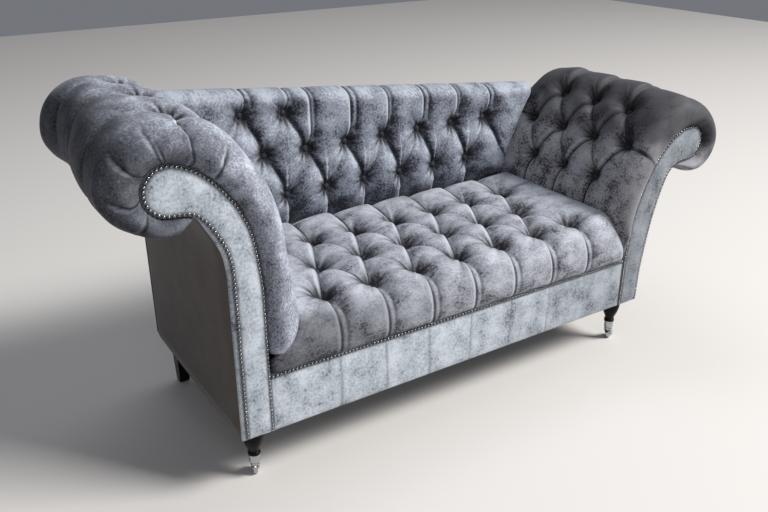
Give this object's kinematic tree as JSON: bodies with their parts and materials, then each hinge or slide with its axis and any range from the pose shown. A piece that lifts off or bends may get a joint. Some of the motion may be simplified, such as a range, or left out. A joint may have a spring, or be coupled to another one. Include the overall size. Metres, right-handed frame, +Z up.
{
  "type": "fainting couch",
  "caption": "Deep-buttoned fainting couch with a high scroll at one end, a lower splayed scroll at the other, a back sloping between them, and castors under the front legs.",
  "frame": {"origin": "on the floor, under the middle of the whole couch", "axes": "+X along the couch to its low end, +Y from the front to the back, +Z up"},
  "size_m": [1.7998, 0.618, 0.91],
  "materials": {
    "frame_wood": "planed beech",
    "liner_board": "thin bent board",
    "webbing": "woven jute",
    "spring_steel": "plain steel",
    "felt": "needled felt",
    "platform_cloth": "woven hessian",
    "velvet": "crushed velvet, blue-violet grey",
    "button_velvet": "velvet-covered buttons",
    "pale_velvet": "crushed velvet brushed to its pale side",
    "outside_velvet": "velvet brushed flat",
    "dust_cloth": "black lining cloth",
    "black_wood": "ebonised, satin",
    "glide_nylon": "plain",
    "chrome": "polished"
  },
  "bodies": {
    "couch": {"front_rail": "frame_wood", "back_rail": "frame_wood", "left_end_rail": "frame_wood", "right_end_rail": "frame_wood", "centre_rail": "frame_wood", "leg_blocks": "frame_wood", "left_front_board": "frame_wood", "right_front_board": "frame_wood", "left_rear_board": "frame_wood", "right_rear_board": "frame_wood", "left_arm_rails": "frame_wood", "right_arm_rails": "frame_wood", "left_arm_liner": "liner_board", "right_arm_liner": "liner_board", "back_posts": "frame_wood", "back_top_rail": "frame_wood", "back_tacking_rail": "frame_wood", "back_webbing": "webbing", "seat_springs": "spring_steel", "spring_clips": "spring_steel", "seat_felt": "felt", "seat_platform": "platform_cloth", "seat_pad": "velvet", "back_pad": "velvet", "left_arm_pad": "velvet", "right_arm_pad": "velvet", "front_border": "pale_velvet", "left_facing": "pale_velvet", "right_facing": "pale_velvet", "left_outside_panel": "outside_velvet", "right_outside_panel": "outside_velvet", "outside_back_panel": "outside_velvet", "dust_cover": "dust_cloth", "seat_buttons": "button_velvet", "back_buttons": "button_velvet", "left_arm_buttons": "button_velvet", "right_arm_buttons": "button_velvet", "front_left_leg": "black_wood", "front_right_leg": "black_wood", "rear_left_leg": "black_wood", "rear_right_leg": "black_wood", "leg_bolts": "spring_steel", "rear_glides": "glide_nylon", "left_castor_cup": "chrome", "right_castor_cup": "chrome"},
    "left_castor": {"left_castor_fork": "chrome", "left_castor_axle": "spring_steel"},
    "left_wheel": {"left_castor_wheel": "chrome"},
    "right_castor": {"right_castor_fork": "chrome", "right_castor_axle": "spring_steel"},
    "right_wheel": {"right_castor_wheel": "chrome"}
  },
  "joints": [
    {"name": "left_castor_swivel", "type": "hinge", "parent": "couch", "child": "left_castor", "pos_m": [-0.6081, -0.232, 0.017], "axis": [0, 0, 1], "continuous": true},
    {"name": "left_wheel_roll", "type": "hinge", "parent": "left_castor", "child": "left_wheel", "pos_m": [-0.604, -0.22072, 0.017], "axis": [-0.9397, 0.342, 0], "continuous": true},
    {"name": "right_castor_swivel", "type": "hinge", "parent": "couch", "child": "right_castor", "pos_m": [0.5999, -0.232, 0.017], "axis": [0, 0, 1], "continuous": true},
    {"name": "right_wheel_roll", "type": "hinge", "parent": "right_castor", "child": "right_wheel", "pos_m": [0.61118, -0.2279, 0.017], "axis": [-0.342, 0.9397, 0], "continuous": true}
  ]
}
